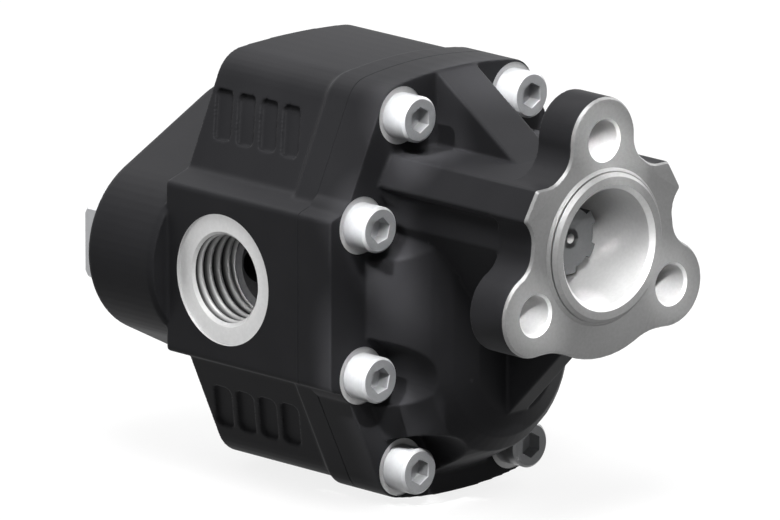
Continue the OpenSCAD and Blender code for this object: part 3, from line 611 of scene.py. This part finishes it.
seats = [
    turned([
        (0, SEAT - 1.4), (SEAT_RADIUS, SEAT - 1.4), (SEAT_RADIUS, SEAT), (SCREW_HOLE, SEAT),
        (SCREW_HOLE, PAST_JOINT), (0, PAST_JOINT),
    ], at, steps=64)
    for at in SCREWS
]
combine(cover_casting, joined([bore, *holes]), IRON_WITH_PAINTED_LIGHT)
# The spot-faced seats take the lighter iron as painted light, since they lie in shade.
combine(cover_casting, joined(seats), IRON_WITH_PAINTED_LIGHT)
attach(cover_casting, "housing")
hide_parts("front_cover")
print("cover:", len(cover_casting.data.polygons), "faces")

# %% [markdown]
# ## The screws
# Eight zinc-plated cap screws hold the cover. The plating is bright round the head and thin
# and dull deep in the socket, and the head's front is painted a darker grey as painted shade.
# So each of the three gets a finish of its own. The shape is the imported one, copied, and a face
# belongs to the socket when it lies close to the screw's axis and behind the head's front.

# %% Screws with three finishes
HEAD_FRONT, SOCKET_DEPTH, SOCKET_RADIUS, SLACK = 62.3, 5.0, 4.7, 0.05
for name in [n for n in nodes if n.startswith("screw_")]:
    low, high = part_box(name)
    middle = Vector(((low[0] + high[0]) / 2, 0, (low[2] + high[2]) / 2))
    screw = put(name + "_plated", closed_copy(name))
    screw.data.materials.clear()
    screw.data.materials.append(ZINC)
    screw.data.materials.append(SOCKET)
    screw.data.materials.append(HEAD_FRONT_PAINTED_SHADE)
    for face in screw.data.polygons:
        deep = face.center.y / MM - HEAD_FRONT
        off_axis = Vector((face.center.x - middle.x, 0, face.center.z - middle.z)).length / MM
        if SLACK < deep < SOCKET_DEPTH + SLACK and off_axis < SOCKET_RADIUS:
            face.material_index = 1
        # The head's front gets the darker zinc, a painted shade.
        elif abs(deep) < SLACK:
            face.material_index = 2
    screw.data.shade_smooth()
    screw.data.set_sharp_from_angle(angle=math.radians(30))
    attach(screw, "housing")
    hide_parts(name)

# %% [markdown]
# ## The end of the shaft
# The cone of the centre hole is given the lighter cut iron as a painted highlight.
# The gear is copied like the screws, and the faces on the cone change their metal.

# %% Centre hole with a painted highlight
SHAFT_END, CONE_RADIUS = 16.2, 3.6
shaft = put("drive_gear_ground", closed_copy("drive_gear"))
shaft.data.materials.clear()
shaft.data.materials.append(GROUND)
shaft.data.materials.append(IRON_WITH_PAINTED_LIGHT)
for face in shaft.data.polygons:
    off_axis = math.hypot(face.center.x, face.center.z) / MM
    if face.center.y / MM > SHAFT_END + SLACK and off_axis < CONE_RADIUS:
        face.material_index = 1
shaft.data.shade_smooth()
shaft.data.set_sharp_from_angle(angle=math.radians(30))
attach(shaft, "drive_shaft")
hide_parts("drive_gear")
print("bright faces:", sum(face.material_index == 1 for face in shaft.data.polygons))

# %% [markdown]
# ## The body
# The body carries the gear chamber, bored from the joint face, a threaded port with a
# spot-faced ring on each side, and two rear ports that are closed by plugs.

# %% Sizes of the body
PORT_FACE, PORT_RING, REAR = 59.3, 22.9, 185.7
CHAMBER, CHAMBER_END, BUSH_HOLE, BUSH_END = 28.1, 150.55, 15.02, 177.5
REAR_PORT_X, REAR_PORT, PASSAGE_X, PASSAGE = 35.2, 16.7, 30.3, 8
SIDES = (-1, 1)
print("body from", JOINT, "to", REAR, "mm")

# %% [markdown]
# A tap cuts the port's thread. So the tap is modelled, a rod whose ridge climbs one pitch in
# a turn, and taken away from the iron. The ridge fades at both ends, as a real thread does.
# The picture shows a coarser thread than the true pitch of 2.3 mm, and so does this one.

# %% A tap
def thread(side, start, end, steps=96, per_turn=10, run_out=0.35):
    """A threaded rod along X with closed ends; side is -1 or +1, start and end are in mm."""
    length = end - start
    rows = int(length / THREAD_PITCH * per_turn)
    verts, faces = [(side * start * MM, PORT_Y * MM, MIDDLE * MM)], []
    for row in range(rows + 1):
        distance = start + length * row / rows
        for i in range(steps):
            turn_part = (distance / THREAD_PITCH - i / steps) % 1
            ridge = 0.5 - 0.5 * math.cos(2 * math.pi * turn_part)
            fade = min(1, row / (run_out * per_turn), (rows - row) / (run_out * per_turn))
            radius = THREAD_MINOR + (THREAD_MAJOR - THREAD_MINOR) * ridge * fade
            angle = 2 * math.pi * i / steps
            verts.append((
                side * distance * MM,
                (PORT_Y + radius * math.cos(angle)) * MM,
                (MIDDLE + radius * math.sin(angle)) * MM,
            ))
    verts.append((side * end * MM, PORT_Y * MM, MIDDLE * MM))
    for i in range(steps):
        j = (i + 1) % steps
        faces.append((0, 1 + i, 1 + j))
        faces.append((len(verts) - 1, 1 + rows * steps + j, 1 + rows * steps + i))
        for row in range(rows):
            a, b = 1 + row * steps, 1 + (row + 1) * steps
            faces.append((a + i, b + i, b + j, a + j))
    return from_grid(verts, faces)


print("ridge of the tap:", round(THREAD_MAJOR - THREAD_MINOR, 2), "mm high")

# %% Casting the body
body_mesh = closed_copy("body")
lengthen(body_mesh, JOINT, -EXTRA)
pattern = put("body_pattern", body_mesh)
port_at = (PORT_Y, MIDDLE)
fillers = [
    rod(16.2, 20, PORT_FACE, port_at, "X"),
    rod(16.2, -PORT_FACE, -20, port_at, "X"),
    joined([rod(23.2, side * 57, side * PORT_FACE, port_at, "X") for side in SIDES]),
    joined([rod(17.5, 130, REAR, (side * REAR_PORT_X, MIDDLE)) for side in SIDES]),
    *[
        turned([(0, 80), (28.4, 80), (28.4, 151), (16, 151), (16, 179), (0, 179)], at)
        for at in (DRIVE, DRIVEN)
    ],
]
for filler in fillers:
    combine(pattern, filler, None, "UNION")
body_casting = cast("body", pattern.data)
bpy.data.objects.remove(pattern)

# %% Boring the chamber and the rear ports
face_off(body_casting, JOINT, 1, FACED, 0.25, bare_edge=False)
for at in (DRIVE, DRIVEN):
    chamber = turned([
        (0, 85), (CHAMBER, 85), (CHAMBER, CHAMBER_END), (BUSH_HOLE, CHAMBER_END),
        (BUSH_HOLE, BUSH_END), (0, BUSH_END),
    ], at)
    combine(body_casting, chamber, SHADED)
rear = [
    turned([
        (0, REAR - 15), (REAR_PORT, REAR - 15), (REAR_PORT, REAR - 0.3), (23, REAR - 0.3),
        (23, REAR + 2), (0, REAR + 2),
    ], (side * REAR_PORT_X, MIDDLE))
    for side in SIDES
]
combine(body_casting, joined(rear), PORT_FACED)
print("chamber and rear ports:", len(body_casting.data.polygons), "faces")

# %% [markdown]
# Each side port is made in the order of the real one: the ring round it is spot-faced, the
# mouth is countersunk, the thread is tapped, and last come the drillings behind it, towards
# the gears and back to the rear port.

# %% Cutting the side ports
THREAD_START, THREAD_END, SHOULDER = 39.3, 58.0, 39
flat_rings = [rod(PORT_RING, side * 58.3, side * 61, port_at, "X", 128) for side in SIDES]
combine(body_casting, joined(flat_rings), PORT_FACED)
mouths = [
    turned([
        (0, side * 50), (THREAD_MINOR, side * 56.8), (THREAD_MAJOR + 0.1, side * 58.35),
        (THREAD_MAJOR + 0.1, side * 59.5), (0, side * 59.5),
    ], port_at, "X", 128)
    for side in SIDES
]
combine(body_casting, joined(mouths), IRON_WITH_PAINTED_LIGHT)
taps = [thread(side, THREAD_START, THREAD_END) for side in SIDES]
combine(body_casting, joined(taps), TAPPED)
passages = [
    turned([
        (0, side * 14), (12, side * 14), (12, side * SHOULDER),
        (THREAD_MINOR - 0.05, side * SHOULDER), (THREAD_MINOR - 0.05, side * 39.6),
        (0, side * 39.6),
    ], port_at, "X")
    for side in SIDES
]
combine(body_casting, joined(passages), SHADED)
rear_passages = [rod(PASSAGE, 130, REAR - 14.5, (side * PASSAGE_X, MIDDLE)) for side in SIDES]
combine(body_casting, joined(rear_passages), SHADED)
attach(body_casting, "housing")
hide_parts("body")

# %% [markdown]
# Cast skin is one smooth surface, and a machined edge is a real break in it. Faces that meet
# at more than 38 degrees keep a hard edge between them, and all others share their shading.

# %% Smooth skin, sharp edges
for casting in (cover_casting, body_casting):
    casting.data.shade_smooth()
    casting.data.set_sharp_from_angle(angle=math.radians(38))
    print(casting.name, len(casting.data.polygons), [m.name for m in casting.data.materials if m])

# %% [markdown]
# ## Floor and light
# The photograph has a white background and one broad light from the upper left, with
# very little light from the front. The floor is grey to the light that it throws back at
# the castings, and Light Path lifts it to white where the camera or a shiny metal sees it,
# so that the undersides stay dark and the shadow stays soft.

# %% Floor
def floor_material():
    material, tree, shader, place = new_material("pale_floor")
    shader.inputs["Base Color"].default_value = colour("#616161")
    shader.inputs["Roughness"].default_value = 0.9
    rays = add(tree, "LightPath")
    seen = add(
        tree, "Math", {"operation": "MAXIMUM"},
        _0=rays.outputs["Is Camera Ray"], _1=rays.outputs["Is Glossy Ray"],
    )
    lift = add(tree, "Math", {"operation": "MULTIPLY"}, _0=seen.outputs[0], _1=0.84)
    glow = add(tree, "Emission", Color=(1, 1, 1, 1), Strength=lift.outputs[0])
    both = add(tree, "AddShader", _0=shader.outputs[0], _1=glow.outputs[0])
    output = next(n for n in tree.nodes if n.type == "OUTPUT_MATERIAL")
    tree.links.new(both.outputs[0], output.inputs["Surface"])
    return material


low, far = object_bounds()[0].z, 4.0
floor_mesh = bpy.data.meshes.new("floor")
floor_mesh.from_pydata(
    [(-far, -far, low), (far, -far, low), (far, far, low), (-far, far, low)], [], [(0, 1, 2, 3)],
)
floor = put("floor", floor_mesh, floor_material())
print("floor at", round(low / MM, 1), "mm")

# %% Soft lamps
def light_at(name, kind, target, towards, distance, watts):
    """A light that looks at a target from a direction; gives back its settings."""
    made = bpy.data.objects.new(name, bpy.data.lights.new(name, kind))
    bpy.context.scene.collection.objects.link(made)
    where = Vector(towards).normalized()
    made.location = target + where * distance
    made.rotation_mode = "QUATERNION"
    made.rotation_quaternion = (-where).to_track_quat("-Z", "Y")
    made.data.energy = watts
    return made.data


def lamp(name, towards, distance, size, watts):
    """A square lamp that looks at the pump's middle."""
    light_at(name, "AREA", LOOK_AT, towards, distance, watts).size = size


lamp("key", (-0.28, -0.28, 0.92), 1.5, 0.8, 32)
lamp("right", (0.9, -0.05, 0.45), 1.6, 1.0, 12)
lamp("back", (0.05, 0.85, 0.52), 1.6, 1.0, 9)

# %% [markdown]
# Light from above can't reach into a hole whose axis lies flat. A photographer uses snoots
# for that, tubes that narrow a lamp to a small circle. Each one here lights a single recess:
# the bore, the three bolt holes, the sockets of the screws and the two side ports.

# %% Snoots
def snoot(name, target, towards, reach, watts, distance):
    """A narrow lamp whose light is a circle of radius reach, in mm, at its target."""
    light = light_at(name, "SPOT", Vector(target) * MM, towards, distance, watts)
    light.shadow_soft_size = 0.01
    light.spot_size, light.spot_blend = 2 * math.atan(reach * MM / distance), 0.25


FRONT_LEFT, UPPER_FRONT, UPPER_LEFT = (-0.45, -0.7, 0.6), (-0.35, -0.6, 0.75), (-0.7, -0.06, 0.71)
BORE_SIDES = [FRONT_LEFT, (-0.2, -0.75, 0.63), (-0.55, -0.65, 0.5)]
for number, towards in enumerate(BORE_SIDES):
    snoot(f"bore_light_{number}", (0, -PILOT_HEIGHT, 0), towards, 21, 36, 1.4)
for number, (x, z) in enumerate(LOBES):
    snoot(f"hole_light_{number}", (x, 0, z), FRONT_LEFT, 6.6, 30, 0.4)
for number, (x, z) in enumerate(SCREWS):
    snoot(f"socket_light_{number}", (x, HEAD_FRONT, z), UPPER_FRONT, 3.3, 60, 0.4)
    snoot(f"head_light_{number}", (x, HEAD_FRONT + 5, z), UPPER_LEFT, 9, 17, 0.4)
for side in SIDES:
    mouth = (side * PORT_FACE, PORT_Y, MIDDLE)
    snoot(f"port_light_{side}", mouth, (side * 0.97, -0.1, 0.22), 14, 45, 1)

# %% [markdown]
# The sky is a faint, even grey to the paint, which keeps the shaded sides readable, and white
# to the camera and to reflections, as the paper of a photographer's tent is.

# %% The studio's white
world = bpy.data.worlds.new("studio")
bpy.context.scene.world = world
world.use_nodes = True
sky = world.node_tree
sky.nodes.clear()
rays = add(sky, "LightPath")
direct = add(
    sky, "Math", {"operation": "MAXIMUM"},
    _0=rays.outputs["Is Camera Ray"], _1=rays.outputs["Is Glossy Ray"],
)
strength = add(sky, "MapRange", Value=direct.outputs[0], To_Min=0.12, To_Max=1.0)
light = add(sky, "Background", Color=(1, 1, 1, 1), Strength=strength.outputs["Result"])
sky_out = add(sky, "OutputWorld")
sky.links.new(light.outputs[0], sky_out.inputs["Surface"])
bpy.context.scene.view_settings.view_transform = "Standard"
print("sky:", world.name)
